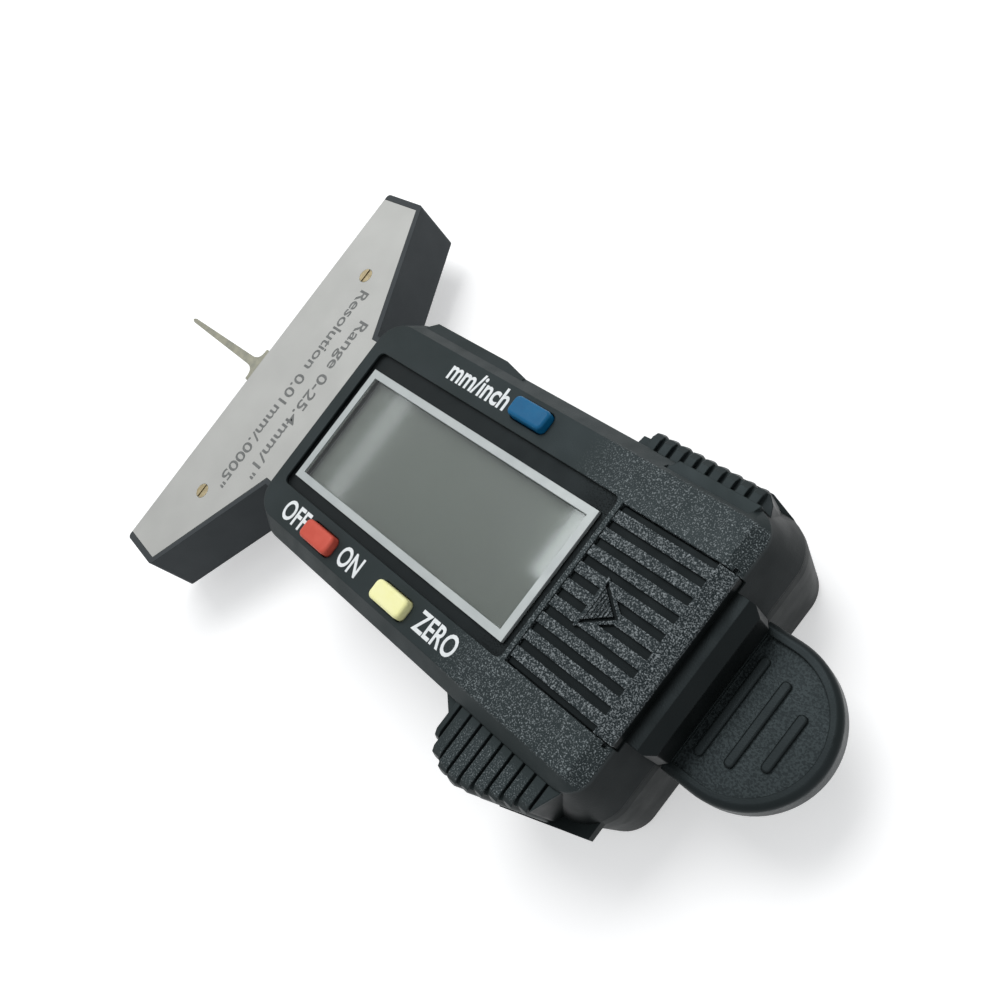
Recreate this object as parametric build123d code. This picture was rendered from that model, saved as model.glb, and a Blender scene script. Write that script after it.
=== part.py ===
# Digital tread depth gauge: T-shaped measuring base, display body, thumb slider with a needle.
# It lies on its back. X runs from the measuring face to the thumb tab, Y across, Z out of the display.
# Places are measured from the measuring face, the middle plane and the flat back, in millimetres.
import os
from math import sqrt

from build123d import *

# Measuring base
base_width = 61.0
base_flare = 0.4
base_end_length = 7.5
base_back_slope = 0.48
base_bottom = 5.1
base_height = 8.2
base_corner = 0.6
ear_length = 8.0         # the two ears of the stem that the front screws clamp
ear_gap = 0.8            # between the slider and an ear
ear_width = 3.4
ear_bottom = 6.1
ear_top = 10.8
plate_thickness = 0.5
plate_end_rim = 0.9
plate_back_rim = 0.45
plate_tab_half = 11.5
plate_screw_x = 6.9
plate_screw_y = 18.6
plate_screw_head = 2.1
plate_screw_shank = 1.2
plate_screw_length = 3.8

# Body
body_gap = 23.5          # measuring face to the body's front wall
body_length = 57.7       # front wall to the tail, at the parting plane
neck_width = 31.6
thickness = 19.0         # flat back to the display face
part_z = 11.6            # parting plane between the two shells
wall = 1.6
floor = 2.0
top_bevel = 1.6
bevel_drop = 1.5
neck_corner = 5.0
foot_bevel = 0.9
side_pad = 0.8           # raised pad on the side of the unit button
side_pad_length = 17.9
side_pad_run_out = 3.8

# Tail block
tail_length = 20.2       # part of the body that flares out and carries the grips
tail_half = 17.9         # at the parting plane
tail_front_corner = 1.0
tail_corner = 4.6
tail_lean = 1.5          # how far the end wall leans out from its top to the parting plane
band_corner = 2.8
top_corner = 0.4
tail_lip = 0.15
foot_lean = 1.2          # the lower shell's foot draws in by this
foot_half = 17.3
foot_corner = 4.0
foot_height = 10.4       # height over which it draws in

# Grips: a row of ribs on each side, a long one for the thumb and a short one
rib_pitch = 1.56
rib_start = 2.23         # from the tail's root to the middle of the first rib
rib_corner = 0.45
rib_fall = 1.1           # height over which a rib's end falls away
rib_width = 1.2
rib_top = 17.25
rib_reaches = (20.1, 21.5, 22.15, 22.25, 21.85, 21.3, 20.7, 20.1, 19.5)
side_rib_width = 1.0
side_rib_top = 17.0
side_rib_reach = 18.1
groove_depth = 0.6
grip_front = 2.25        # from the tail's root to the grip's front wall
grip_length = 17.0
ledge_slope = 0.376      # of its edge towards the tail
grip_foot = 7.0          # how far the grip runs below the parting plane
grip_foot_taper = 18.0
ledge_height = 1.2
ledge_half = 19.1
side_strip_start = 5.75  # smooth raised strip above the short ribs
side_strip_length = 10.05
side_strip_half = 16.0
side_strip_z = 18.1

# Slider and rod
travel = 25.4
rod_z = 9.2
rod_width = 5.4
rod_thickness = 1.2
needle_root = 1.4
needle_tip = 0.7
shoulder_out = 5.2       # rod's full width stands out of the face by this when the slider is forward
shoulder_radius = 2.0
rod_inside = 22.0        # length of rod held in the slider
slider_nose = 26.2
carriage_length = 25.5
flange_half = 6.4
neck_of_slider_half = 4.9
slider_half = 8.0
carriage_bottom = 7.0
flange_top = 8.4
plate_bottom = 9.4
carriage_top = 10.6
pin_diameter = 1.4
pin_head = 2.6
pin_places = (6.0, 18.0)  # from the slider's nose
scale_thickness = 0.5
scale_half = 6.0
running = 0.08           # running clearance
fit = 0.03               # seated clearance

# Thumb tab
tab_half = 8.6
tab_straight = 3.45
tab_thickness = 2.4
tab_top = 11.2
tab_edge = 0.7
tab_rim = 1.2
tab_recess = 0.5
tab_rib_width = 1.0
tab_rib_height = 0.42
tab_rib_first = 1.52     # before the centre of the tab's round end
tab_rib_pitch = 2.9
tab_rib_lengths = (11.1, 9.5, 6.2)

# Guides
rail_inner = 4.6
rail_outer = 8.6
strip_thickness = 0.8
strip_start = 32.2
strip_end = 77.6
guide_screw_y = 7.6
guide_screw_xs = (38.0, 69.0)
guide_screw_head = 1.9
guide_screw_shank = 1.0
guide_screw_length = 4.5
leaf_length = 12.0
leaf_rise = 0.7
leaf_thickness = 0.18
leaf_height = 1.1
leaf_start = 10.0        # from the slider's nose

# Hood over the slider's slot
hood_half = 8.4
hood_out = 1.1
hood_top = 16.6
hood_bottom = 12.0
hood_slant = 1.4
hood_corner = 0.7

# Display
lcd_offset = 2.8         # body front to the frame
lcd_length = 38.0
lcd_width = 16.0
lcd_y = -0.4
frame_border = 0.95
frame_height = 0.5
window_height = 0.6
window_ledge = 0.8
recess_depth = 0.55
recess_margin_x = 1.0
recess_half = 9.85
recess_corner = 0.8
lcd_thickness = 2.2

# Board
board_thickness = 1.0
board_drop = 0.2         # between the scale strip and the board
board_front = 31.4
board_half = 13.4
board_length = 33.8
chip_size = 9.0
chip_height = 0.9
dome_diameter = 4.0
dome_height = 0.3
dome_y = 11.2
elastomer_width = 1.6
elastomer_length = 33.0
elastomer_apart = 12.4

# Buttons
button_length = 5.3
button_width = 2.4
button_proud = 1.1
button_travel = 0.5
button_corner = 0.8
button_edge = 0.4
button_gap = 0.15
button_flange = 0.6
flange_height = 0.6
flange_gap = 0.1         # to the side wall
button_y = 12.3
stem_length = 3.0
stem_width = 1.7
power_x = 10.0           # from the display frame's front edge
zero_x = 24.0
unit_x = 24.0

# Battery
cell_diameter = 11.6
cell_height = 5.4
cell_step = 0.25
pocket_gap = 0.3
pocket_wall = 0.9
pocket_start = 0.4       # from the cover's front edge
contact_thickness = 0.2
contact_width = 3.0
contact_y = 4.0

# Battery cover
cover_front = 39.7       # from the display frame's front edge
cover_rear = 1.0         # from the cell's pocket to the cover's end
cover_half = 9.4
cover_thickness = 1.4
cover_gap = 0.12
cover_corner = 0.3
cover_flat = 11.9        # its rear margin slopes down from here
cover_slope_drop = 0.8
cover_skirt_thickness = 0.6
cover_low = 0.02         # below the display face
deck = 1.0
tongue = 0.4
tongue_height = 0.5
tongue_drop = 0.75
channel_count = 8
channel_length = 11.8
channel_pitch = 2.03
channel_width = 0.88
channel_depth = 0.4
margin_width = 0.65      # lowered margin along each side
arrow_start = 3.8
arrow_half = 2.45
arrow_length = 3.3
arrow_line = 0.4
arrow_clear = 0.45       # channels stop this far from the arrow
arrow_grooves = 6
arrow_groove_pitch = 0.38
arrow_groove_width = 0.16
arrow_groove_depth = 0.12

# Screws
screw_head = 4.0
screw_shank = 2.0
screw_head_height = 1.5
screw_sink = 1.2
screw_boss = 4.3
front_screw_x = 4.6      # from the body's front
rear_screw_x = 5.4       # from the tail
rear_screw_y = 12.2
screw_tip = 2.4          # below the underside of the top wall
board_screw_places = ((43.6, -12.0), (62.5, -12.0), (40.0, 12.0), (62.5, 12.0))
board_screw_head = 2.4
board_screw_shank = 1.2
board_screw_head_height = 0.6
board_screw_length = 4.0
board_post = 2.4

# Worked out from the values above
base_top = base_bottom + base_height
base_half = base_width / 2
ear_inner = slider_half + ear_gap
stem_half = ear_inner + ear_width
front_screw_y = ear_inner + ear_width / 2
neck_half = neck_width / 2
tail_x = body_gap + body_length
tail_root = tail_x - tail_length
band_x = tail_x - tail_lean
band_z = thickness - bevel_drop
inner_front = body_gap + wall
inner_half = neck_half - wall
ceiling = thickness - wall
scale_top = carriage_top + scale_thickness
board_bottom = scale_top + board_drop
board_top = board_bottom + board_thickness
board_back = board_front + board_length
tab_root = tail_x + 0.3
tab_middle = tab_root + tab_straight
tab_end = tab_middle + tab_half
needle_end = 0.2 - travel
lcd_x = body_gap + lcd_offset
lcd_middle = lcd_x + lcd_length / 2
frame_z = thickness - frame_height
window_z = frame_z - window_height
cover_x = lcd_x + cover_front
cover_end = cover_x + pocket_start + 2 * pocket_gap + cell_diameter + cover_rear
cover_bottom = thickness - cover_thickness
cell_x = cover_x + pocket_start + pocket_gap + cell_diameter / 2
cell_bottom = cover_bottom - fit - cell_height
pocket_floor = cell_bottom - contact_thickness
pocket_radius = cell_diameter / 2 + pocket_gap
pocket_bottom = scale_top + 0.15
strip_z = flange_top + running
front_screw = body_gap + front_screw_x
rear_screw = tail_x - rear_screw_x
screw_end = ceiling - screw_tip
buttons = ((unit_x, button_y), (power_x, -button_y), (zero_x, -button_y))
middle_x = (tab_end + needle_end) / 2


# Small helpers

def block(x0, x1, y0, y1, z0, z1):
    return Pos(x0, y0, z0) * Box(x1 - x0, y1 - y0, z1 - z0, align=(Align.MIN, Align.MIN, Align.MIN))


def post(x, y, z0, z1, diameter):
    return Pos(x, y, z0) * Cylinder(diameter / 2, z1 - z0, align=(Align.CENTER, Align.CENTER, Align.MIN))


def slab(points, z0, z1):
    return extrude(make_face(Polyline(*[(x, y, z0) for x, y in points], close=True)), z1 - z0, dir=(0, 0, 1))


def side_slab(points, half):
    face = make_face(Polyline(*[(x, 0, z) for x, z in points], close=True))
    return extrude(face, half, dir=(0, 1, 0), both=True)


def end_slab(points, x0, x1):
    return extrude(make_face(Polyline(*[(x0, y, z) for y, z in points], close=True)), x1 - x0, dir=(1, 0, 0))


def plan(x0, x1, half, front_radius, rear_radius, z):
    face = Pos((x0 + x1) / 2, 0, z) * Rectangle(x1 - x0, 2 * half)
    if front_radius:
        face = fillet(face.vertices().sort_by(Axis.X)[:2], front_radius)
    if rear_radius:
        face = fillet(face.vertices().sort_by(Axis.X)[-2:], rear_radius)
    return face


def soft_box(x0, x1, y0, y1, z0, z1, corner, edge):
    body = block(x0, x1, y0, y1, z0, z1)
    body = fillet(body.edges().filter_by(Axis.Z), corner)
    return fillet(body.edges().group_by(Axis.Z)[-1], edge) if edge else body


def both_sides(shape):
    return shape + mirror(shape, about=Plane.XZ)


def group(shapes):
    return Compound(children=list(shapes))


# Measuring base

def t_outline(end_rim, back_rim, inner, gap):
    half = base_half - end_rim - gap
    back = base_end_length - back_rim - gap
    turn = back + base_back_slope * (half + base_flare - inner)
    side = [(0, half), (back, half + base_flare), (turn, inner - gap), (body_gap - gap, inner - gap)]
    return [(x, -y) for x, y in side] + side[::-1]


def measuring_base():
    body = slab(t_outline(0, 0, stem_half, 0), base_bottom, base_top)
    corners = [e for e in body.edges().filter_by(Axis.Z) if abs(e.center().Y) > stem_half + 1]
    body = fillet(corners, base_corner)
    ear = block(body_gap - 1, body_gap + ear_length, ear_inner, stem_half, ear_bottom, ear_top)
    body += both_sides(ear)
    body -= both_sides(post(front_screw, front_screw_y, 0, thickness, screw_shank + 0.4))
    side = rod_width / 2 + running
    rise = rod_thickness / 2 + running
    body -= block(-1, body_gap + 1, -side, side, rod_z - rise, rod_z + rise)
    body -= slab(t_outline(plate_end_rim, plate_back_rim, plate_tab_half, 0), base_top - plate_thickness,
                 base_top + 1)
    hole = post(plate_screw_x, plate_screw_y, base_top - plate_screw_length - 0.2, base_top,
                plate_screw_shank + 0.06)
    return body - both_sides(hole)


def plate_screw_head_at(y, gap):
    size = plate_screw_head / 2 + gap
    low = plate_screw_shank / 2 + gap
    place = Pos(plate_screw_x, y, base_top - plate_thickness / 2)
    return place * Cone(low, size, plate_thickness)


def base_plate():
    plate = slab(t_outline(plate_end_rim, plate_back_rim, plate_tab_half, fit),
                 base_top - plate_thickness, base_top)
    for y in (-plate_screw_y, plate_screw_y):
        plate -= plate_screw_head_at(y, fit)
    return plate


def base_plate_screws():
    screws = []
    for y in (-plate_screw_y, plate_screw_y):
        screw = plate_screw_head_at(y, 0)
        screw += post(plate_screw_x, y, base_top - plate_screw_length, base_top - plate_thickness,
                      plate_screw_shank)
        slot = Pos(plate_screw_x, y, base_top) * Box(0.3, 3, 0.4)
        screws.append(screw - slot)
    return group(screws)


# Upper shell

def rib(x, width, reach, top):
    plan_face = Pos(x, (inner_half + reach) / 2, part_z) * Rectangle(width, reach - inner_half)
    plan_face = fillet(plan_face.vertices().sort_by(Axis.Y)[-2:], rib_corner)
    end = end_slab([(inner_half, part_z), (reach, part_z), (reach, top - rib_fall),
                    (reach - 0.3 * rib_fall, top - 0.35 * rib_fall), (reach - 0.9 * rib_fall, top),
                    (inner_half, top)], x - width, x + width)
    return extrude(plan_face, top - part_z, dir=(0, 0, 1)) & end


def rib_x(i):
    return tail_root + rib_start + i * rib_pitch


def grip_outline(z):
    reach = [r - rib_corner for r in rib_reaches]
    front = tail_root + grip_front
    end = tail_root + grip_length
    points = [(tail_root + 0.2, inner_half), (tail_root + 0.2, neck_half), (front, reach[0] - 2),
              (front, reach[0] - 0.6)]
    points += [(rib_x(i) - 0.3, reach[i]) for i in range(1, 4)]
    points += [(rib_x(3) + 0.8, reach[3]), (rib_x(8) + 0.9, reach[8] - 0.3), (end, neck_half),
               (end - 1.5, inner_half)]
    return make_face(Polyline(*[(x, -y, z) for x, y in points], close=True))


def grip():
    body = extrude(grip_outline(part_z), rib_top - groove_depth - part_z, dir=(0, 0, 1))
    front = block(tail_root + grip_front, tail_x, -base_half, base_half, part_z, thickness)
    for i, reach in enumerate(rib_reaches):
        body += mirror(rib(rib_x(i), rib_width, reach, rib_top), about=Plane.XZ) & front
    last = rib_x(len(rib_reaches)) - rib_width / 2
    end = tail_root + grip_length
    return body + slab([(last, -inner_half), (last, 0.6 - rib_reaches[8]), (end, -neck_half),
                        (end, -inner_half)],
                       part_z, rib_top)


def side_grip():
    out = side_rib_reach - 0.4
    last = rib_x(len(rib_reaches) - 1)
    front = tail_root + grip_front
    body = slab([(tail_root, inner_half), (tail_root + 0.5, out - 0.8), (front, out - 0.7),
                 (front + 0.1, out),
                 (last + 0.8, out), (last + 1.6, out - 0.7), (last + 3, inner_half)],
                part_z, side_rib_top - groove_depth)
    for i in range(len(rib_reaches)):
        body += rib(rib_x(i), side_rib_width, side_rib_reach, side_rib_top)
    return body


def side_strip(low, high, out):
    start = tail_root + side_strip_start
    end = start + side_strip_length
    inner = neck_half - top_bevel + 0.5
    return slab([(start, inner), (start + 0.9, out), (end + 0.5, out), (end, inner)], low, high)


def pad():
    start = body_gap + 3.7
    end = body_gap + side_pad_length
    inner = inner_half + 0.4
    out = neck_half + side_pad
    body = slab([(start, inner), (start + 1.6, out), (end, out), (end + side_pad_run_out, neck_half),
                 (end + side_pad_run_out, inner)], part_z, band_z + 0.45)
    return body - end_slab([(neck_half - 0.5, band_z + 0.46), (out + 0.2, band_z - 0.1),
                            (out + 0.2, thickness),
                            (neck_half - 0.5, thickness)], body_gap, tail_x)


def hood():
    profile = [(band_x - wall, hood_top), (tail_x - 0.05, hood_top),
               (tail_x + hood_out, hood_top - hood_slant),
               (tail_x + hood_out, hood_bottom), (band_x - wall, hood_bottom)]
    body = side_slab(profile, hood_half)
    front = [e for e in body.edges().filter_by(Axis.Z) if e.center().X > tail_x + 0.5]
    return chamfer(front, hood_corner)


def upper_outside():
    body = extrude(plan(body_gap, tail_root + 3, neck_half, neck_corner, 0, part_z), band_z - part_z,
                   dir=(0, 0, 1))
    body += loft([plan(body_gap, band_x, neck_half, neck_corner, band_corner, band_z),
                  plan(body_gap, band_x - bevel_drop, neck_half - top_bevel, neck_corner - top_bevel,
                       top_corner, thickness)], ruled=True)
    body += loft([plan(tail_root, tail_x, tail_half, tail_front_corner, tail_corner, part_z),
                  plan(tail_root + 1, band_x - tail_lip, neck_half - tail_lip, tail_front_corner,
                       band_corner,
                       band_z)], ruled=True)
    body -= side_strip(side_strip_z, thickness + 1, side_strip_half + 2)
    body += side_strip(part_z + 2, side_strip_z, side_strip_half)
    return body + pad() + hood() + grip() + side_grip()


def upper_hollow():
    body = extrude(plan(inner_front, tail_root + 3, inner_half, neck_corner - wall, 0, part_z - 1),
                   ceiling - part_z + 1, dir=(0, 0, 1))
    low = plan(tail_root + wall, tail_x - wall, tail_half - wall, tail_front_corner, tail_corner - wall,
               part_z)
    high = plan(tail_root + 1 + wall, band_x - wall, inner_half, tail_front_corner, band_corner - 0.5,
                ceiling)
    body += loft([low, high], ruled=True)
    return body


def frame_box(size_gap, z0, z1):
    length = lcd_length / 2 + size_gap
    width = lcd_width / 2 + size_gap
    return block(lcd_middle - length, lcd_middle + length, lcd_y - width, lcd_y + width, z0, z1)


def button_box(index, gap, z0, z1, corner, edge):
    x, y = buttons[index]
    length = button_length / 2 + gap
    width = button_width / 2 + gap
    return soft_box(lcd_x + x - length, lcd_x + x + length, y - width, y + width, z0, z1, corner, edge)


def upper_inside():
    body = block(cover_x - 1, band_x - wall, -cover_half - 1.6, cover_half + 1.6, cover_bottom - deck,
                 cover_bottom)
    body += post(cell_x, 0, pocket_bottom, cover_bottom, 2 * (pocket_radius + pocket_wall))
    boss = post(front_screw, front_screw_y, ear_top + fit, thickness - 1, screw_boss)
    inside = plan(inner_front, tail_root + 3, inner_half, neck_corner - wall, 0, 0)
    body += both_sides(boss & extrude(inside, thickness, dir=(0, 0, 1)))
    body += both_sides(post(rear_screw, rear_screw_y, part_z, thickness - 1, screw_boss))
    for x, y in board_screw_places:
        body += post(x, y, board_top, thickness - 1, board_post)
    return body


def cover_opening():
    side = cover_half + cover_gap
    body = block(cover_x - cover_gap, tail_x + 2, -side, side, cover_bottom - fit, thickness + 1)
    body += block(cover_end - cover_skirt_thickness - cover_gap, tail_x + 2, -side, side, hood_top,
                  thickness)
    low = thickness - tongue_drop - tongue_height - fit
    groove = block(cover_x - cover_gap, tail_x + 2, side - 0.1, side + tongue + fit, low,
                   low + tongue_height + 2 * fit)
    return body + both_sides(groove)


def upper_cuts():
    margin_x = lcd_length / 2 + recess_margin_x
    body = soft_box(lcd_middle - margin_x, lcd_middle + margin_x, -recess_half, recess_half,
                    thickness - recess_depth, thickness + 1, recess_corner, 0)
    body += frame_box(fit, window_z - fit, thickness + 1)
    body += frame_box(-window_ledge, ceiling - 1, thickness)
    for index in range(len(buttons)):
        body += button_box(index, button_gap, ceiling - 1, thickness + 1, button_corner, 0)
    body += cover_opening()
    body += post(cell_x, 0, pocket_floor, thickness, 2 * pocket_radius)
    body += block(cover_x - 2, cell_x - 3, -contact_width / 2 - 0.2, contact_width / 2 + 0.2,
                  board_top + 0.9, cover_bottom - deck)
    low = min(pocket_floor, board_top)
    high = max(pocket_floor + contact_thickness + 0.1, board_top + 0.5)
    slot = contact_width / 2 + 0.2
    body += block(cover_x - 2, cell_x - 2, contact_y - slot, contact_y + slot, low, high)
    pilots = post(front_screw, front_screw_y, 0, screw_end + 0.5, screw_shank + 0.04)
    pilots += post(rear_screw, rear_screw_y, 0, screw_end + 0.5, screw_shank + 0.04)
    body += both_sides(pilots)
    for x, y in board_screw_places:
        body += post(x, y, 0, board_bottom + board_screw_length + 0.2, board_screw_shank + 0.04)
    return body


def front_housing():
    return upper_outside() - upper_hollow() + upper_inside() - upper_cuts()


# Lower shell

def ledges():
    low = part_z - ledge_height
    plus = slab([(tail_root + 0.6, inner_half), (tail_root + 0.6, ledge_half - 0.2),
                 (tail_x - 6.8, ledge_half),
                 (tail_x - 3.6, tail_half), (tail_x - 3.6, inner_half)], low, part_z)
    start = rib_x(5)
    end = tail_x - 0.85
    reach = rib_reaches[5]
    minus = slab([(start - 1, -inner_half), (start - 1, 0.4 - reach), (start, -reach - 0.2),
                  (end, ledge_slope * (end - start) - reach - 0.2), (end, -inner_half)], low, part_z)
    return plus + minus


def lower_outside():
    body = extrude(plan(body_gap, tail_root + 3, neck_half, neck_corner, 0, 0), part_z, dir=(0, 0, 1))
    body += extrude(plan(tail_root, tail_x, tail_half, tail_front_corner, tail_corner, foot_height),
                    part_z - foot_height, dir=(0, 0, 1))
    body += loft([plan(tail_root + foot_lean, tail_x - foot_lean, foot_half, tail_front_corner,
                       foot_corner, 0),
                  plan(tail_root, tail_x, tail_half, tail_front_corner, tail_corner,
                       foot_height)], ruled=True)
    body += extrude(grip_outline(part_z), -grip_foot, taper=grip_foot_taper)
    body += ledges()
    return chamfer(body.edges().group_by(Axis.Z)[0], foot_bevel)


def lower_hollow():
    body = extrude(plan(inner_front, tail_root + 3, inner_half, neck_corner - wall, 0, floor), part_z,
                   dir=(0, 0, 1))
    inside = tail_root + wall, tail_x - wall, tail_half - wall, tail_front_corner, tail_corner - wall
    body += extrude(plan(*inside, foot_height), part_z - foot_height, dir=(0, 0, 1))
    body += loft([plan(tail_root + foot_lean + wall, tail_x - foot_lean - wall, foot_half - wall,
                       tail_front_corner,
                       foot_corner - 1, floor), plan(*inside, foot_height)], ruled=True)
    return body


def rail():
    body = block(inner_front - 0.5, tail_x - foot_lean - wall, rail_inner, flange_half + running, 1,
                 carriage_bottom)
    return body + block(inner_front - 0.5, tail_x - foot_lean - wall, flange_half + running, rail_outer,
                        1, strip_z)


def lower_inside():
    body = both_sides(rail())
    body += both_sides(post(front_screw, front_screw_y, 1, ear_bottom - fit, screw_boss))
    return body + both_sides(post(rear_screw, rear_screw_y, 1, part_z, screw_boss))


def lower_cuts():
    gap = 0.1
    ear = block(body_gap - 1, body_gap + ear_length, ear_inner - gap, stem_half + gap, ear_bottom - gap,
                ear_top + gap)
    side = rod_width / 2 + 0.1
    body = both_sides(ear)
    body += block(body_gap - 1, inner_front + 1, -side, side, rod_z - rod_thickness, rod_z + rod_thickness)
    wide = slider_half + 0.15
    body += block(tail_x - 4, tail_x + 1, -wide, wide, plate_bottom - 0.1, thickness)
    for x, y in ((front_screw, front_screw_y), (rear_screw, rear_screw_y)):
        body += both_sides(post(x, y, -1, screw_sink + screw_head_height, screw_head + 0.2))
        body += both_sides(post(x, y, -1, thickness, screw_shank + 0.2))
    for x in guide_screw_xs:
        body += both_sides(post(x, guide_screw_y, strip_z - guide_screw_length, strip_z,
                                guide_screw_shank + 0.04))
    return body


def back_housing():
    return lower_outside() - lower_hollow() + lower_inside() - lower_cuts()


def housing_screws():
    screws = []
    for x, y in ((front_screw, front_screw_y), (rear_screw, rear_screw_y)):
        top = screw_sink + screw_head_height - fit
        screw = post(x, y, screw_sink, top, screw_head) + post(x, y, screw_sink, screw_end, screw_shank)
        screw -= Pos(x, y, screw_sink) * Box(2.4, 0.6, 1.2)
        screw -= Pos(x, y, screw_sink) * Box(0.6, 2.4, 1.2)
        screws += [screw, mirror(screw, about=Plane.XZ)]
    return group(screws)


# Guides of the slider

def guide_strip():
    body = block(strip_start, strip_end, neck_of_slider_half + 0.15, rail_outer, strip_z + fit,
                 strip_z + fit + strip_thickness)
    for x in guide_screw_xs:
        body -= guide_screw_at(x, 0.03)
    return body


def guide_screw_at(x, gap):
    top = strip_z + fit + strip_thickness
    head = Pos(x, guide_screw_y, top - strip_thickness / 2) * Cone(
        guide_screw_shank / 2 + gap, guide_screw_head / 2 + gap, strip_thickness)
    return head + post(x, guide_screw_y, strip_z - guide_screw_length + 0.3, top,
                       guide_screw_shank + 2 * gap)


def guide_strips():
    return group([guide_strip(), mirror(guide_strip(), about=Plane.XZ)])


def guide_screws():
    screws = []
    for x in guide_screw_xs:
        screw = guide_screw_at(x, 0)
        screws += [screw, mirror(screw, about=Plane.XZ)]
    return group(screws)


# Slider

def tab_plan(start, half, z):
    length = tab_middle - start
    straight = Pos(start + length / 2, 0, z) * Rectangle(length, 2 * half)
    window = Pos(start + 2 * tab_half, 0, z) * Rectangle(4 * tab_half, 4 * tab_half)
    return (straight + Pos(tab_middle, 0, z) * Circle(half)) & window


def tab():
    low = tab_top - tab_thickness
    body = extrude(tab_plan(tab_root, tab_half, low), tab_thickness, dir=(0, 0, 1))
    body = fillet([e for e in body.edges().group_by(Axis.Z)[-1] if e.center().X > tab_root + 1], tab_edge)
    well = tab_plan(tab_root + 0.6, tab_half - tab_rim, tab_top - tab_recess)
    body -= extrude(well, 2, dir=(0, 0, 1))
    for i, length in enumerate(tab_rib_lengths):
        x = tab_middle - tab_rib_first + i * tab_rib_pitch
        body += soft_box(x - tab_rib_width / 2, x + tab_rib_width / 2, -length / 2, length / 2,
                         tab_top - tab_recess - 0.3, tab_top - tab_recess + tab_rib_height, 0.45, 0.2)
    return body


def leaf_pocket():
    x = slider_nose + leaf_start
    return block(x - 0.3, x + leaf_length + 0.3, flange_half - leaf_rise - leaf_thickness - 0.1,
                 flange_half + 1,
                 carriage_bottom + 0.15, flange_top + 1)


def slide_carriage():
    back = slider_nose + carriage_length
    body = block(slider_nose, back, -flange_half, flange_half, carriage_bottom + running, flange_top)
    body += block(slider_nose, back, -neck_of_slider_half, neck_of_slider_half,
                  carriage_bottom + running, carriage_top)
    body += block(slider_nose, tab_root + 2, -slider_half, slider_half, plate_bottom + fit, carriage_top)
    body += tab()
    side = rod_width / 2 + fit
    body -= block(slider_nose - 1, slider_nose + rod_inside + fit, -side, side,
                  rod_z - rod_thickness / 2, thickness)
    for x in pin_places:
        body -= post(slider_nose + x, 0, carriage_bottom + 0.4, carriage_top, pin_diameter + 0.04)
    return body - leaf_pocket()


def measuring_rod():
    tail = slider_nose + rod_inside
    full = -shoulder_out
    neck = full - shoulder_radius
    half = rod_width / 2
    root = needle_root / 2
    step = half - root
    outline = Polyline((tail, half), (full, half))
    corner = full - 0.15, half - 0.15
    shoulder = Spline(corner, (full - 0.45, root + step * 0.3), (neck, root), tangents=((0, -1), (-1, 0)))
    lower = Polyline((neck, root), (needle_end + 0.6, needle_tip / 2), (needle_end, needle_tip / 2 - 0.22),
                     (needle_end, 0), (tail, 0), (tail, half))
    face = make_face(Wire([*outline.edges(), Line((full, half), corner), *shoulder.edges(), *lower.edges()]))
    body = extrude(face, rod_thickness, dir=(0, 0, 1))
    body = Pos(0, 0, rod_z - rod_thickness / 2) * body
    body += mirror(body, about=Plane.XZ)
    for x in pin_places:
        body -= post(slider_nose + x, 0, 0, thickness, pin_diameter + 0.04)
    return body


def rod_pins():
    low = carriage_bottom + 0.4
    face = rod_z + rod_thickness / 2
    return group([post(slider_nose + x, 0, low, face, pin_diameter) + post(slider_nose + x, 0, face,
                                                                           face + 0.6, pin_head)
                  for x in pin_places])


def scale_strip():
    return block(slider_nose + 1, slider_nose + carriage_length - 1, -scale_half, scale_half,
                 carriage_top, scale_top)


def friction_spring():
    x = slider_nose + leaf_start
    low = flange_half - leaf_rise - leaf_thickness / 2
    top = flange_half + running - 0.02 - leaf_thickness / 2
    path = ThreePointArc((x, low, 0), (x + leaf_length / 2, top, 0), (x + leaf_length, low, 0))
    face = make_face(offset(path, amount=leaf_thickness / 2))
    return Pos(0, 0, carriage_bottom + 0.2) * extrude(face, leaf_height, dir=(0, 0, 1))


# Display and board

def display_frame():
    return frame_box(0, frame_z, thickness) - frame_box(-frame_border, frame_z - 1, thickness + 1)


def display_window():
    return frame_box(-0.05, window_z, frame_z - 0.01) + frame_box(-frame_border - fit, frame_z - 0.1,
                                                                  thickness - 0.15)


def lcd_panel():
    return frame_box(-0.4, ceiling - fit - lcd_thickness, ceiling - fit)


def elastomer_strips():
    strips = []
    for y in (-elastomer_apart / 2, elastomer_apart / 2):
        strips.append(block(lcd_middle - elastomer_length / 2, lcd_middle + elastomer_length / 2,
                            lcd_y + y - elastomer_width / 2, lcd_y + y + elastomer_width / 2,
                            board_top + 0.01, ceiling - fit - lcd_thickness - 0.01))
    return group(strips)


def circuit_board():
    body = block(board_front, board_back, -board_half, board_half, board_bottom, board_top - 0.01)
    for x, y in board_screw_places:
        body -= post(x, y, 0, thickness, board_screw_shank + 0.2)
    return body


def controller_chip():
    half = chip_size / 2
    chip = block(lcd_middle - half, lcd_middle + half, lcd_y - half + 0.5, lcd_y + half - 0.5,
                 board_top, board_top + chip_height)
    return fillet(chip.edges().group_by(Axis.Z)[-1], 0.6)


def switch_domes():
    domes = []
    for x, y in buttons:
        place = Pos(lcd_x + x, dome_y if y > 0 else -dome_y, board_top + dome_height / 2)
        cone = Cone(dome_diameter / 2, dome_diameter / 4, dome_height)
        domes.append(place * cone - Pos(0, 0, -dome_height / 2) * place * cone)
    return group(domes)


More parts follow.
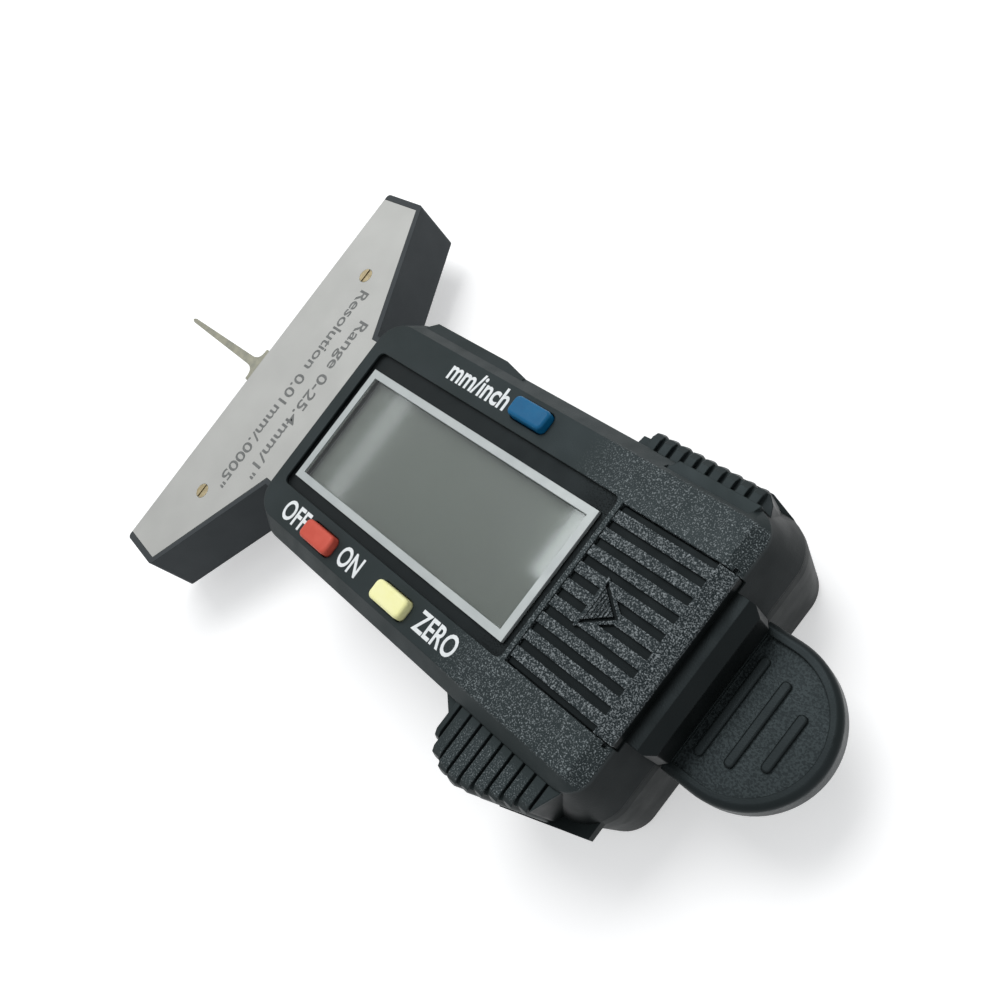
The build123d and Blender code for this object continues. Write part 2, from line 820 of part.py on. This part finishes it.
def board_screws():
    screws = []
    for x, y in board_screw_places:
        screw = post(x, y, board_bottom - board_screw_head_height, board_bottom, board_screw_head)
        screw += post(x, y, board_bottom - 0.1, board_bottom + board_screw_length, board_screw_shank)
        screw -= Pos(x, y, board_bottom - board_screw_head_height) * Box(1.6, 0.35, 0.5)
        screws.append(screw)
    return group(screws)


# Buttons

def push_button(index):
    x, y = buttons[index]
    side = 1 if y > 0 else -1
    cap = button_box(index, 0, ceiling - 0.4, thickness + button_proud, button_corner - button_gap,
                     button_edge)
    half = button_length / 2 + button_flange
    near, far = sorted((side * (button_y - button_width / 2 - button_flange),
                        side * (inner_half - flange_gap)))
    flange = soft_box(lcd_x + x - half, lcd_x + x + half, near, far, ceiling - fit - flange_height,
                      ceiling - fit,
                      button_corner, 0)
    middle = side * (dome_y + 0.3)
    stem = block(lcd_x + x - stem_length / 2, lcd_x + x + stem_length / 2, middle - stem_width / 2,
                 middle + stem_width / 2, board_top + dome_height + button_travel + fit, ceiling - 0.1)
    return cap + flange + stem


# Battery

def button_cell():
    body = post(cell_x, 0, cell_bottom + cell_step, cell_bottom + cell_height, cell_diameter)
    body = chamfer(body.edges(), 0.25)
    return body + post(cell_x, 0, cell_bottom + 0.01, cell_bottom + 1, cell_diameter - 1.8)


def positive_contact():
    half = contact_width / 2
    rise = cell_bottom + 2.6
    side = cell_x - cell_diameter / 2 - 0.02
    riser = board_back - 0.5
    foot = block(riser - 3, riser, -half, half, board_top, board_top + contact_thickness)
    up = block(riser - contact_thickness, riser, -half, half, board_top, rise)
    arm = block(riser - contact_thickness, side, -half, half, rise - contact_thickness, rise)
    pad_side = block(side - contact_thickness, side, -half, half, rise - 1.6, rise)
    return foot + up + arm + pad_side


def negative_contact():
    half = contact_width / 2
    y = contact_y
    riser = cover_x + 1.2
    tongue_part = block(riser, cell_x + 1, y - half, y + half, pocket_floor + 0.01,
                        pocket_floor + contact_thickness)
    low, high = sorted((pocket_floor + 0.01, board_top + contact_thickness))
    up = block(riser, riser + contact_thickness, y - half, y + half, low, high)
    foot = block(board_back - 3, riser + contact_thickness, y - half, y + half, board_top,
                 board_top + contact_thickness)
    return tongue_part + up + foot


def arrow_face(x, half, length, z):
    return make_face(Polyline((x, half, z), (x, -half, z), (x + length, 0, z), close=True))


def cover_channels(top):
    end = cover_x + channel_length
    low = top - channel_depth
    row = []
    for i in range(channel_count):
        y = (i - (channel_count - 1) / 2) * channel_pitch
        row.append(block(cover_x - 1, end, y - channel_width / 2, y + channel_width / 2, low, top + 1))
    mark = cover_x + arrow_start - 0.6 * arrow_clear
    clear = extrude(arrow_face(mark, arrow_half + arrow_clear, arrow_length + 2 * arrow_clear, low - 1), 3,
                    dir=(0, 0, 1))
    row = [channel - clear for channel in row]
    side = block(cover_x - 1, end, cover_half - margin_width, cover_half + 1, low, top + 1)
    return row + [side, mirror(side, about=Plane.XZ)]


def arrow_cuts(top):
    x = cover_x + arrow_start
    edge = sqrt(arrow_length ** 2 + arrow_half ** 2)
    half = arrow_half - arrow_line * edge / arrow_length
    length = arrow_length - arrow_line * edge / arrow_half
    inner = extrude(arrow_face(x, half, length, top - 2), 4, dir=(0, 0, 1))
    cuts = [extrude(arrow_face(x, arrow_half, arrow_length, top - channel_depth), 2, dir=(0, 0, 1)) - inner]
    for i in range(arrow_grooves):
        at = x + 0.2 + i * arrow_groove_pitch
        cuts.append(inner & block(at, at + arrow_groove_width, -half, half, top - arrow_groove_depth,
                                  top + 1))
    return cuts


def battery_cover():
    top = thickness - cover_low
    side = cover_half
    skirt = cover_end - cover_skirt_thickness
    body = side_slab([(cover_x, cover_bottom), (skirt, cover_bottom), (skirt, hood_top + cover_low),
                      (cover_end, hood_top + cover_low), (cover_end, top - cover_slope_drop),
                      (cover_x + cover_flat, top), (cover_x, top)], side)
    body = fillet([e for e in body.edges().filter_by(Axis.Z) if e.center().X < cover_x + 0.1], cover_corner)
    low = thickness - tongue_drop - tongue_height
    body += both_sides(block(cover_x + 1, cover_end - 3, side - 0.2, side + tongue, low,
                             low + tongue_height))
    for cut in cover_channels(top) + arrow_cuts(top):
        body -= cut
    return body


parts = {
    "measuring_base": measuring_base(),
    "base_plate": base_plate(),
    "base_plate_screws": base_plate_screws(),
    "front_housing": front_housing(),
    "back_housing": back_housing(),
    "housing_screws": housing_screws(),
    "guide_strips": guide_strips(),
    "guide_screws": guide_screws(),
    "slide_carriage": slide_carriage(),
    "measuring_rod": measuring_rod(),
    "rod_pins": rod_pins(),
    "scale_strip": scale_strip(),
    "friction_spring": friction_spring(),
    "display_frame": display_frame(),
    "display_window": display_window(),
    "lcd_panel": lcd_panel(),
    "elastomer_strips": elastomer_strips(),
    "circuit_board": circuit_board(),
    "controller_chip": controller_chip(),
    "switch_domes": switch_domes(),
    "board_screws": board_screws(),
    "unit_button": push_button(0),
    "power_button": push_button(1),
    "zero_button": push_button(2),
    "button_cell": button_cell(),
    "positive_contact": positive_contact(),
    "negative_contact": negative_contact(),
    "battery_cover": battery_cover(),
}

os.makedirs("parts", exist_ok=True)
for name, shape in parts.items():
    export_step(Pos(-middle_x, 0, 0) * Compound(children=list(shape.solids())), f"parts/{name}.step")
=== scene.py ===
import math
import bpy
from mathutils import Matrix, Vector


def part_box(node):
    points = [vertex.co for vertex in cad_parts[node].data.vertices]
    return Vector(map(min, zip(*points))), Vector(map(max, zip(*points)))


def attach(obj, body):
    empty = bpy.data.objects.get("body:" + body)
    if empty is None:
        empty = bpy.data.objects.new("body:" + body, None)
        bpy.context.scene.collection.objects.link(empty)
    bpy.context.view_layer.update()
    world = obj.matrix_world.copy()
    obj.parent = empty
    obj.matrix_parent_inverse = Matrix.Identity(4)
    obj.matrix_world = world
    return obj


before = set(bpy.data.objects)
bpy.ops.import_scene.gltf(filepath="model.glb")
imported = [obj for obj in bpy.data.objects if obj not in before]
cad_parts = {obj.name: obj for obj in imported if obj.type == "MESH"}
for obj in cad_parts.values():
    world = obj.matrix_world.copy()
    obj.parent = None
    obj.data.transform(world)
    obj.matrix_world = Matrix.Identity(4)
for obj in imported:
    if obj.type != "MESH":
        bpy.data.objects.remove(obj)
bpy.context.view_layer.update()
print("frame loaded:", len(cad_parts), "pieces")

mm = 0.001
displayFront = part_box("display_frame")[0].x / mm   # places along the body are measured from here
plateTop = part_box("base_plate")[1].z / mm
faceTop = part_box("display_frame")[1].z / mm
mixA, mixB, mixResult = 6, 7, 2                    # colour sockets of a Mix node
noiseLow, noiseHigh = 0.3, 0.7                     # most of a noise's values lie between these
patchesPerCloud = 2.5                              # gloss changes in smaller patches than colour
printLift = 0.002                                  # a print lies this far off its face, in mm
weldGap = 1e-7                                     # points nearer than this are one, in metres


# Helpers for materials

def toLinear(hexColour):
    # sRGB hex to the linear numbers that a colour socket takes
    channels = [int(hexColour[i:i + 2], 16) / 255 for i in (1, 3, 5)]
    return [c / 12.92 if c <= 0.04045 else ((c + 0.055) / 1.055) ** 2.4 for c in channels] + [1.0]


def scaleFor(sizeInMm):
    # a texture's scale for a pattern whose features are this big
    return 1 / (sizeInMm * mm)


def addNode(tree, kind, settings=None, links=None):
    # one node: settings are its properties or its sockets' values, links are what feeds its sockets
    node = tree.nodes.new("ShaderNode" + kind)
    for name, value in (settings or {}).items():
        if isinstance(name, str) and hasattr(node, name):
            setattr(node, name, value)
        else:
            node.inputs[name].default_value = value
    for name, source in (links or {}).items():
        tree.links.new(source, node.inputs[name])
    return node


def makeFinish(name, look):
    # cloudy colour, uneven gloss, fine grit and softened edges, each at its real size in millimetres
    material = bpy.data.materials.new(name)
    material.use_nodes = True
    tree = material.node_tree
    tree.nodes.clear()
    coords = addNode(tree, "TexCoord", {"name": "coords"}).outputs["Object"]
    cloud = addNode(tree, "TexNoise", {"Scale": scaleFor(look["cloud"]), "Detail": 2.0}, {"Vector": coords})
    shade = addNode(tree, "MapRange", {"From Min": noiseLow, "From Max": noiseHigh},
                    {"Value": cloud.outputs[0]})
    darker, paler = look["colours"]
    colour = addNode(tree, "Mix", {"name": "colour", "data_type": "RGBA", mixA: toLinear(darker),
                                   mixB: toLinear(paler)}, {0: shade.outputs["Result"]})
    patchScale = scaleFor(look["cloud"] / patchesPerCloud)
    patches = addNode(tree, "TexNoise", {"Scale": patchScale, "Detail": 1.0}, {"Vector": coords})
    glossiest, dullest = look["roughness"]
    gloss = addNode(tree, "MapRange", {"From Min": noiseLow, "From Max": noiseHigh, "To Min": glossiest,
                                       "To Max": dullest}, {"Value": patches.outputs[0]})
    edge = addNode(tree, "Bevel", {"samples": 6, "Radius": look["edge"] * mm})
    placed = addNode(tree, "Mapping", {"Scale": look.get("stretch", (1, 1, 1))}, {"Vector": coords})
    grit = addNode(tree, "TexNoise", {"Scale": scaleFor(look["grit"]), "Detail": 3.0},
                   {"Vector": placed.outputs["Vector"]})
    relief = addNode(tree, "Bump", {"name": "relief", "Distance": look["gritDepth"] * mm},
                     {"Height": grit.outputs[0], "Normal": edge.outputs["Normal"]})
    shader = addNode(tree, "BsdfPrincipled", {"name": "shader"} | look["shader"],
                     {"Base Color": colour.outputs[mixResult], "Roughness": gloss.outputs["Result"],
                      "Normal": relief.outputs["Normal"]})
    addNode(tree, "OutputMaterial", {"name": "out"}, {"Surface": shader.outputs["BSDF"]})
    return material


def paint(material, *names):
    for name in names:
        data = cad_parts[name].data
        data.materials.clear()
        data.materials.append(material)


# Black mouldings

def addField(material, grain, fields):
    # a part of the piece with a skin of its own: pebbles whose tops take one colour and whose pits another,
    # raised by the skin's depth; pale tops are painted glints, near-black skins are painted shade
    # a field is a list of fades: an axis, where the skin is nil and where it is full; |Y| is Y's size
    tree = material.node_tree
    shader = tree.nodes["shader"]
    under = {name: shader.inputs[name].links[0].from_socket for name in ("Base Color", "Normal")}
    coords = tree.nodes["coords"].outputs["Object"]
    axes = addNode(tree, "SeparateXYZ", links={"Vector": coords})
    size = addNode(tree, "Math", {"operation": "ABSOLUTE"}, {0: axes.outputs["Y"]})
    places = {axis: axes.outputs[axis] for axis in ("X", "Y", "Z")} | {"|Y|": size.outputs["Value"]}
    amount = None
    for fades in fields:
        field = None
        for axis, nilAt, fullAt in fades:
            step = {"interpolation_type": "SMOOTHSTEP", "From Min": nilAt * mm, "From Max": fullAt * mm}
            fade = addNode(tree, "MapRange", step, {"Value": places[axis]}).outputs["Result"]
            if field is None:
                field = fade
            else:
                field = addNode(tree, "Math", {"operation": "MULTIPLY"}, {0: field, 1: fade}).outputs["Value"]
        if amount is None:
            amount = field
        else:
            amount = addNode(tree, "Math", {"operation": "MAXIMUM"}, {0: amount, 1: field}).outputs["Value"]
    pebbles = addNode(tree, "TexNoise", {"Scale": scaleFor(grain["size"]), "Detail": 1.5}, {"Vector": coords})
    tops = addNode(tree, "MapRange", {"From Min": grain["low"], "From Max": grain["high"]},
                   {"Value": pebbles.outputs[0]})
    skin = addNode(tree, "Mix", {"data_type": "RGBA", mixA: toLinear(grain["pits"]),
                                 mixB: toLinear(grain["tops"])}, {0: tops.outputs["Result"]})
    colour = addNode(tree, "Mix", {"data_type": "RGBA"},
                     {0: amount, mixA: under["Base Color"], mixB: skin.outputs[mixResult]})
    height = addNode(tree, "Math", {"operation": "MULTIPLY"}, {0: tops.outputs["Result"], 1: amount})
    relief = addNode(tree, "Bump", {"Distance": grain["depth"] * mm},
                     {"Height": height.outputs["Value"], "Normal": under["Normal"]})
    tree.links.new(colour.outputs[mixResult], shader.inputs["Base Color"])
    tree.links.new(relief.outputs["Normal"], shader.inputs["Normal"])


# ABS from a spark-eroded tool: green-black, satin, its gloss low
blackAbs = {
    "colours": ("#222828", "#292f30"), "cloud": 6.0, "roughness": (0.38, 0.5), "grit": 0.16,
    "gritDepth": 0.012, "edge": 0.16,
    "shader": {"IOR": 1.48, "Specular IOR Level": 0.22, "Specular Tint": toLinear("#c6d9df")},
}
softGloss = {"shader": blackAbs["shader"] | {"Specular IOR Level": 0.12}}
# painted highlight: the pale tops of these grains are glints painted into the colour, over the real pebbled
# texture
sparkGrainAndGlints = {"size": 0.15, "depth": 0.05, "pits": "#252b2c", "tops": "#98a0a2", "low": 0.52, "high": 0.78}
coverGrainAndGlints = sparkGrainAndGlints | {"pits": "#242a2c", "tops": "#9ba2a4", "low": 0.47, "high": 0.75}
ribGrainAndGlints = sparkGrainAndGlints | {"pits": "#293031", "tops": "#8b9294"}
# painted shade: near-black colours with no bump, laid where shade falls
paintedShade = {
    "size": 3.0, "depth": 0.0, "pits": "#080a0a", "tops": "#0b0d0d", "low": noiseLow, "high": noiseHigh,
}
# painted shade on the hood and the tail's walls, darker still
tailShade = paintedShade | {"pits": "#070909", "tops": "#0c0e0e"}

# the coarse grain, its pale tops painted glints, runs round the battery cover and fades out beside the
# display
housingFields = (
    (("X", displayFront + 31.5, displayFront + 38.5), ("|Y|", 14.5, 14.1), ("Z", 17.2, 17.4)),
)
# the middle ribs of the long grip have it too, with painted glints on their tops
gripFields = (
    (("X", displayFront + 37, displayFront + 41), ("X", displayFront + 52, displayFront + 46),
     ("Y", -16.2, -17.5), ("Z", 17.0, 17.2)),
)
# painted shade: the floor of the display's recess is painted near black
recessShadeFields = (
    (("X", displayFront + 39.3, displayFront + 39.2), ("|Y|", 10.3, 10.2), ("Z", 18.8, 18.7)),
)
# painted shade: the hood and the tail's walls are smoother than the top and painted deeper black
rearShadeFields = (
    (("X", displayFront + 49.5, displayFront + 50.5), ("Z", 17.2, 16.8)),
)
# ribs and rear margin are grained with painted glints on the pebble tops, the channels between the ribs are
# smooth
coverFields = (
    (("Z", 18.72, 18.82),),
    (("X", displayFront + 51.4, displayFront + 51.6), ("Z", 17.6, 17.8)),
)
# the dished floor of the thumb tab has a faint grain, its rim and ribs are smooth
tabFields = ((("Z", 10.78, 10.72), ("X", displayFront + 55.5, displayFront + 56)),)
tabGrain = {"size": 0.22, "depth": 0.008, "pits": "#181c1d", "tops": "#303637", "low": 0.4, "high": 0.6}

housing = makeFinish("blackAbsSparkGrained", blackAbs)
addField(housing, sparkGrainAndGlints, housingFields)
addField(housing, ribGrainAndGlints, gripFields)
addField(housing, paintedShade, recessShadeFields)
addField(housing, tailShade, rearShadeFields)
paint(housing, "front_housing")

# painted shade: the cover's base colour is darker than the housing's so that the smooth channels between the
# ribs look shaded; the ribs' pale tops are painted glints
coverLookChannelShade = blackAbs | softGloss | {"colours": ("#0d1010", "#121516")}
cover = makeFinish("blackAbsRibbed", coverLookChannelShade)
addField(cover, coverGrainAndGlints, coverFields)
paint(cover, "battery_cover")

# acetal for the slider: a little glossier than the shells
tabLook = blackAbs | {"colours": ("#161a1a", "#1b1f20"), "roughness": (0.34, 0.42)}
tab = makeFinish("blackAcetalTab", tabLook)
addField(tab, tabGrain, tabFields)
paint(tab, "slide_carriage")

# the lower shell is smooth and deep black
backLook = blackAbs | softGloss | {"colours": ("#121616", "#171b1b"), "roughness": (0.46, 0.54)}
paint(makeFinish("blackAbsSatin", backLook), "back_housing")

# glass-filled nylon for the base: greyer and duller
baseLook = blackAbs | {"colours": ("#393c3e", "#3e4143"), "roughness": (0.53, 0.58)}
paint(makeFinish("blackNylonBase", baseLook), "measuring_base")
print("black mouldings painted")


# Metals: their colour is all reflection, and grit marks spread the gloss

bareMetal = {"shader": {"Metallic": 1.0}, "grit": 0.15, "gritDepth": 0.003, "edge": 0.08}
metalLooks = (
    # satin steel plate: light grey and even, with faint strokes along its length
    ("satinSteelPlate", ("base_plate",),
     {"colours": ("#a0a19f", "#a6a7a5"), "cloud": 7.0, "roughness": (0.62, 0.64), "stretch": (1, 0.06, 1),
      "gritDepth": 0.006}),
    # yellow-chromated screws: dull brass
    ("brassedSteelScrews", ("base_plate_screws", "board_screws", "guide_screws"),
     {"colours": ("#8d8266", "#a89c7e"), "cloud": 1.2, "roughness": (0.34, 0.46)}),
    # zinc-plated screws: cool grey
    ("zincPlatedScrews", ("housing_screws",),
     {"colours": ("#9a9ea1", "#b4b7ba"), "cloud": 1.5, "roughness": (0.3, 0.42)}),
    # stainless rod, ground along its length: warm pale grey
    ("groundStainlessRod", ("measuring_rod", "rod_pins"),
     {"colours": ("#83847a", "#989788"), "cloud": 1.5, "roughness": (0.36, 0.46), "grit": 0.12,
      "stretch": (0.05, 1, 1), "gritDepth": 0.005}),
    # rolled spring steel: grey with a tight gloss
    ("rolledSpringSteel", ("switch_domes", "friction_spring"),
     {"colours": ("#a3a39d", "#b1b1ab"), "cloud": 3.0, "roughness": (0.25, 0.35)}),
    # nickelled can of the cell: bright with a warm tint
    ("nickelledCellCan", ("button_cell",),
     {"colours": ("#c4c6c4", "#d4d5d2"), "cloud": 5.0, "roughness": (0.16, 0.26), "grit": 0.2,
      "stretch": (1, 1, 0.1)}),
    # phosphor bronze contacts: reddish gold
    ("phosphorBronzeContacts", ("positive_contact", "negative_contact"),
     {"colours": ("#b29466", "#c4a877"), "cloud": 2.0, "roughness": (0.25, 0.35)}),
)
for name, pieces, look in metalLooks:
    paint(makeFinish(name, bareMetal | look), *pieces)
print("metals painted")


# Mouldings, prints and boards that are not metal

plainPiece = {"grit": 0.2, "gritDepth": 0.006, "edge": 0.08, "shader": {"IOR": 1.5}}
dullGloss = {"IOR": 1.5, "Specular IOR Level": 0.2}
keyLook = {"cloud": 1.6, "roughness": (0.38, 0.48), "edge": 0.14, "shader": dullGloss}
plainLooks = (
    # silver ink screen-printed on the window's border: pale, cool and nearly matt
    ("silverScreenPrint", ("display_frame",),
     {"colours": ("#a4aaaa", "#afb5b4"), "cloud": 3.0, "roughness": (0.4, 0.5), "shader": {"Metallic": 0.2}}),
    # liquid crystal cell over a silvered polariser: flat grey-green
    ("greyGreenPolariser", ("lcd_panel",),
     {"colours": ("#565955", "#5b5f5a"), "cloud": 14.0, "roughness": (0.3, 0.36), "gritDepth": 0.0002,
      "shader": dullGloss}),
    # keys of coloured ABS: even colour, satin gloss, a soft highlight along the rounded edge
    ("blueAbsKey", ("unit_button",), keyLook | {"colours": ("#055a86", "#09618d")}),
    ("redAbsKey", ("power_button",), keyLook | {"colours": ("#cb5444", "#d35d4d")}),
    ("yellowAbsKey", ("zero_button",), keyLook | {"colours": ("#fdfab4", "#fffdc2")}),
    # glass epoxy with green solder mask
    ("greenSolderMask", ("circuit_board",),
     {"colours": ("#10432a", "#175235"), "cloud": 2.5, "roughness": (0.3, 0.4)}),
    # epoxy blob over the chip: glossy black
    ("blackEpoxyBlob", ("controller_chip",),
     {"colours": ("#0a0a0a", "#121212"), "cloud": 1.5, "roughness": (0.18, 0.28)}),
    # natural acetal: milky white, slippery
    ("naturalAcetal", ("guide_strips",),
     {"colours": ("#d6d6cf", "#dedfd8"), "cloud": 4.0, "roughness": (0.38, 0.5), "shader": {"IOR": 1.48}}),
)
for name, pieces, look in plainLooks:
    paint(makeFinish(name, plainPiece | look), *pieces)
print("display and keys painted")


def addBars(material, bars):
    # straight bars across the piece, for conductors and scale fingers: share is a bar's part of the pitch
    tree = material.node_tree
    axes = addNode(tree, "SeparateXYZ", links={"Vector": tree.nodes["coords"].outputs["Object"]})
    turns = addNode(tree, "Math", {"operation": "MULTIPLY", 1: scaleFor(bars["pitch"])},
                    {0: axes.outputs["X"]})
    part = addNode(tree, "Math", {"operation": "FRACT"}, {0: turns.outputs["Value"]})
    lines = addNode(tree, "Math", {"operation": "LESS_THAN", 1: bars["share"]}, {0: part.outputs["Value"]})
    mix = addNode(tree, "Mix", {"data_type": "RGBA", mixB: toLinear(bars["colour"])},
                  {0: lines.outputs["Value"], mixA: tree.nodes["colour"].outputs[mixResult]})
    tree.links.new(mix.outputs[mixResult], tree.nodes["shader"].inputs["Base Color"])


# layered contact rubber: dark conducting layers in pink silicone, drawn coarser than the real 0.1 mm
zebraLook = plainPiece | {"colours": ("#b98b84", "#bf938c"), "cloud": 2.0, "roughness": (0.7, 0.85)}
zebra = makeFinish("zebraRubber", zebraLook)
addBars(zebra, {"pitch": 0.4, "share": 0.5, "colour": "#2b2523"})
paint(zebra, "elastomer_strips")

# gold fingers of the scale on dark laminate
scaleLook = plainPiece | {"colours": ("#4e4520", "#544b26"), "cloud": 2.0, "roughness": (0.35, 0.5)}
scale = makeFinish("goldScaleLaminate", scaleLook)
addBars(scale, {"pitch": 1.27, "share": 0.5, "colour": "#b59a4c"})
paint(scale, "scale_strip")


def clearWindow(name, look):
    # moulded acrylic: clear with a thin gloss; light from the lamps passes through it onto the display
    material = makeFinish(name, look)
    tree = material.node_tree
    path = addNode(tree, "LightPath")
    passing = addNode(tree, "Math", {"operation": "MAXIMUM"},
                      {0: path.outputs["Is Shadow Ray"], 1: path.outputs["Is Diffuse Ray"]})
    opened = addNode(tree, "BsdfTransparent", {"Color": toLinear(look["colours"][1])})
    glossy = tree.nodes["shader"].outputs["BSDF"]
    mix = addNode(tree, "MixShader", links={0: passing.outputs["Value"], 1: glossy,
                                            2: opened.outputs["BSDF"]})
    tree.links.new(mix.outputs["Shader"], tree.nodes["out"].inputs["Surface"])
    return material


acrylic = {
    "colours": ("#f1f5f2", "#f4f7f5"), "cloud": 6.0, "roughness": (0.05, 0.055), "grit": 0.5,
    "gritDepth": 0.00001, "edge": 0.05,
    "shader": {"IOR": 1.49, "Transmission Weight": 1.0, "Specular Tint": toLinear("#e8eff1")},
}
paint(clearWindow("clearAcrylicWindow", acrylic), "display_window")
print("inner pieces and window painted")


# Lettering

def lettering(name, words, place, width, height, settings):
    # printed words: flat text made a mesh, scaled to the measured width and capital height
    halfDepth = 0.5
    bpy.ops.object.select_all(action="DESELECT")
    bpy.ops.object.text_add(location=(0, 0, 0))
    piece = bpy.context.object
    piece.name = name
    piece.data.body = words
    piece.data.size = 1
    piece.data.offset = settings["weight"]
    piece.data.extrude = halfDepth
    piece.data.resolution_u = 4
    bpy.ops.object.convert(target="MESH")
    piece = bpy.context.object
    xs = [v.co.x for v in piece.data.vertices]
    scale = Vector((width / (max(xs) - min(xs)), height / settings["capHeight"], settings["thickness"]))
    corner = Vector((min(xs), 0, -halfDepth))
    for vertex in piece.data.vertices:
        local = vertex.co - corner
        vertex.co = Vector((local.x * scale.x, local.y * scale.y, local.z * scale.z)) * mm
    turned = Matrix.Rotation(math.radians(settings["turn"]), 4, "Z")
    piece.data.transform(Matrix.Translation(Vector(place) * mm) @ turned)
    bpy.ops.object.mode_set(mode="EDIT")
    bpy.ops.mesh.select_all(action="SELECT")
    bpy.ops.mesh.remove_doubles(threshold=weldGap)
    bpy.ops.mesh.normals_make_consistent(inside=False)
    bpy.ops.object.mode_set(mode="OBJECT")
    piece.data.materials.append(settings["ink"])
    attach(piece, "gauge_body")


# pad-printed inks: matt, a little uneven in their cover
inkLook = plainPiece | {"cloud": 0.6, "roughness": (0.5, 0.6), "gritDepth": 0.001, "edge": 0.01}
whiteInk = makeFinish("whitePadPrint", inkLook | {"colours": ("#e2e6e7", "#eff2f3")})
greyInk = makeFinish("greyPlatePrint", inkLook | {"colours": ("#5c5e5d", "#6c6e6d")})

# capHeight is the font's own capital height at size 1, thickness is the ink's in mm
labelPrint = {"turn": 0, "weight": 0.02, "capHeight": 0.73, "thickness": 0.02, "ink": whiteInk,
              "slot": "silver_print"}
labels = (
    # name, words, left end from the display's front edge and baseline, width, capital height
    ("off_label", "OFF", (2.05, -13.3), 4.75, 2.58),
    ("on_label", "ON", (13.8, -13.2), 3.85, 2.47),
    ("zero_label", "ZERO", (28.1, -13.1), 6.25, 2.47),
    ("unit_label", "mm/inch", (10.3, 11.2), 9.9, 2.58),
)
for name, words, (along, across), width, height in labels:
    lettering(name, words, (displayFront + along, across, faceTop + printLift), width, height, labelPrint)

platePrint = {"turn": -90, "weight": 0.012, "capHeight": 0.73, "thickness": 0.012, "ink": greyInk,
              "slot": "satin_plate"}
plateLines = (
    # name, words, baseline from the display's front edge and start across, width, capital height
    ("range_print", "Range 0-25.4mm/1\"", (-14.44, 12.9), 25.9, 1.9),
    ("resolution_print", "Resolution 0.01mm/.0005\"", (-18.2, 16.6), 33.1, 1.9),
)
for name, words, (along, across), width, height in plateLines:
    lettering(name, words, (displayFront + along, across, plateTop + printLift), width, height, platePrint)
print("lettering placed")


# Stage

stage = {"floorSize": 6.0, "paper": "#e6e6e6", "lift": 0.45, "world": 0.52, "sky": "#f4f7fa"}


def seenRays(tree):
    # 1 for what the camera sees, straight, in a gloss or through the window, and 0 for light that fills
    path = addNode(tree, "LightPath")
    seen = addNode(tree, "Math", {"operation": "MAXIMUM"},
                   {0: path.outputs["Is Camera Ray"], 1: path.outputs["Is Glossy Ray"]})
    seen = addNode(tree, "Math", {"operation": "MAXIMUM"},
                   {0: seen.outputs["Value"], 1: path.outputs["Is Transmission Ray"]})
    return seen.outputs["Value"]


def floorPaper(name, settings):
    # a pale floor that shows white to the camera and in reflections, and keeps the soft shadow
    paper = {"colours": (settings["paper"], settings["paper"]), "cloud": 400.0, "roughness": (0.9, 0.9),
             "grit": 5.0, "gritDepth": 0.001, "edge": 0.01, "shader": {"IOR": 1.3}}
    material = makeFinish(name, paper)
    tree = material.node_tree
    strength = addNode(tree, "Math", {"operation": "MULTIPLY", 1: settings["lift"]}, {0: seenRays(tree)})
    glow = addNode(tree, "Emission", links={"Strength": strength.outputs["Value"]})
    both = addNode(tree, "AddShader", links={0: tree.nodes["shader"].outputs["BSDF"],
                                             1: glow.outputs["Emission"]})
    tree.links.new(both.outputs["Shader"], tree.nodes["out"].inputs["Surface"])
    return material


bpy.ops.object.select_all(action="DESELECT")
bpy.ops.mesh.primitive_plane_add(size=stage["floorSize"], location=(0, 0, 0))
floor = bpy.context.object
floor.name = "studio_floor"
floor.data.materials.append(floorPaper("paleStudioPaper", stage))

world = bpy.data.worlds.new("studioWorld")
bpy.context.scene.world = world
world.use_nodes = True
tree = world.node_tree
tree.nodes.clear()
lit = addNode(tree, "Background", {"Color": toLinear(stage["sky"]), "Strength": stage["world"]})
white = addNode(tree, "Background", {"Color": (1, 1, 1, 1), "Strength": 1.0})
mix = addNode(tree, "MixShader", links={0: seenRays(tree), 1: lit.outputs["Background"],
                                        2: white.outputs["Background"]})
addNode(tree, "OutputWorld", links={"Surface": mix.outputs["Shader"]})

# the key lights everything from the needle's side, the strip is the streak on the display
lamps = (
    # name, place, length along X and Y, watts, all facing straight down
    ("keySoftbox", (-0.28, 0.33, 0.8), (0.44, 0.62), 4.9),
    ("stripLamp", (-0.80, 0.02, 0.8), (0.03, 0.9), 0.2),
)
for name, place, (sizeX, sizeY), watts in lamps:
    data = bpy.data.lights.new(name, "AREA")
    data.shape = "RECTANGLE"
    data.size, data.size_y = sizeX, sizeY
    data.energy = watts
    lamp = bpy.data.objects.new(name, data)
    bpy.context.scene.collection.objects.link(lamp)
    lamp.location = place
print("stage and lamps placed")


# Camera, at the photo's angle

photoView = {
    "fromDisplay": 91.238, "y": -3.375, "z": 101.2065, "lens": 35.994, "shift": (0.038383, 0.034115),
    "right": (0.62905712, 0.6031203, -0.49044168), "up": (-0.4670938, 0.79757394, 0.38170564),
    "back": (0.62137792, -0.01103238, 0.78343332), "sensor": 36, "clipStart": 0.01,
}
cameraData = bpy.data.cameras.new("photoCamera")
cameraData.lens = photoView["lens"]
cameraData.sensor_width = photoView["sensor"]
cameraData.shift_x, cameraData.shift_y = photoView["shift"]
cameraData.clip_start = photoView["clipStart"]
camera = bpy.data.objects.new("photoCamera", cameraData)
bpy.context.scene.collection.objects.link(camera)
turned = Matrix([photoView[k] for k in ("right", "up", "back")]).transposed()
place = Vector((displayFront + photoView["fromDisplay"], photoView["y"], photoView["z"])) * mm
camera.matrix_world = Matrix.Translation(place) @ turned.to_4x4()
bpy.context.scene.camera = camera
bpy.context.scene.view_settings.view_transform = "Standard"
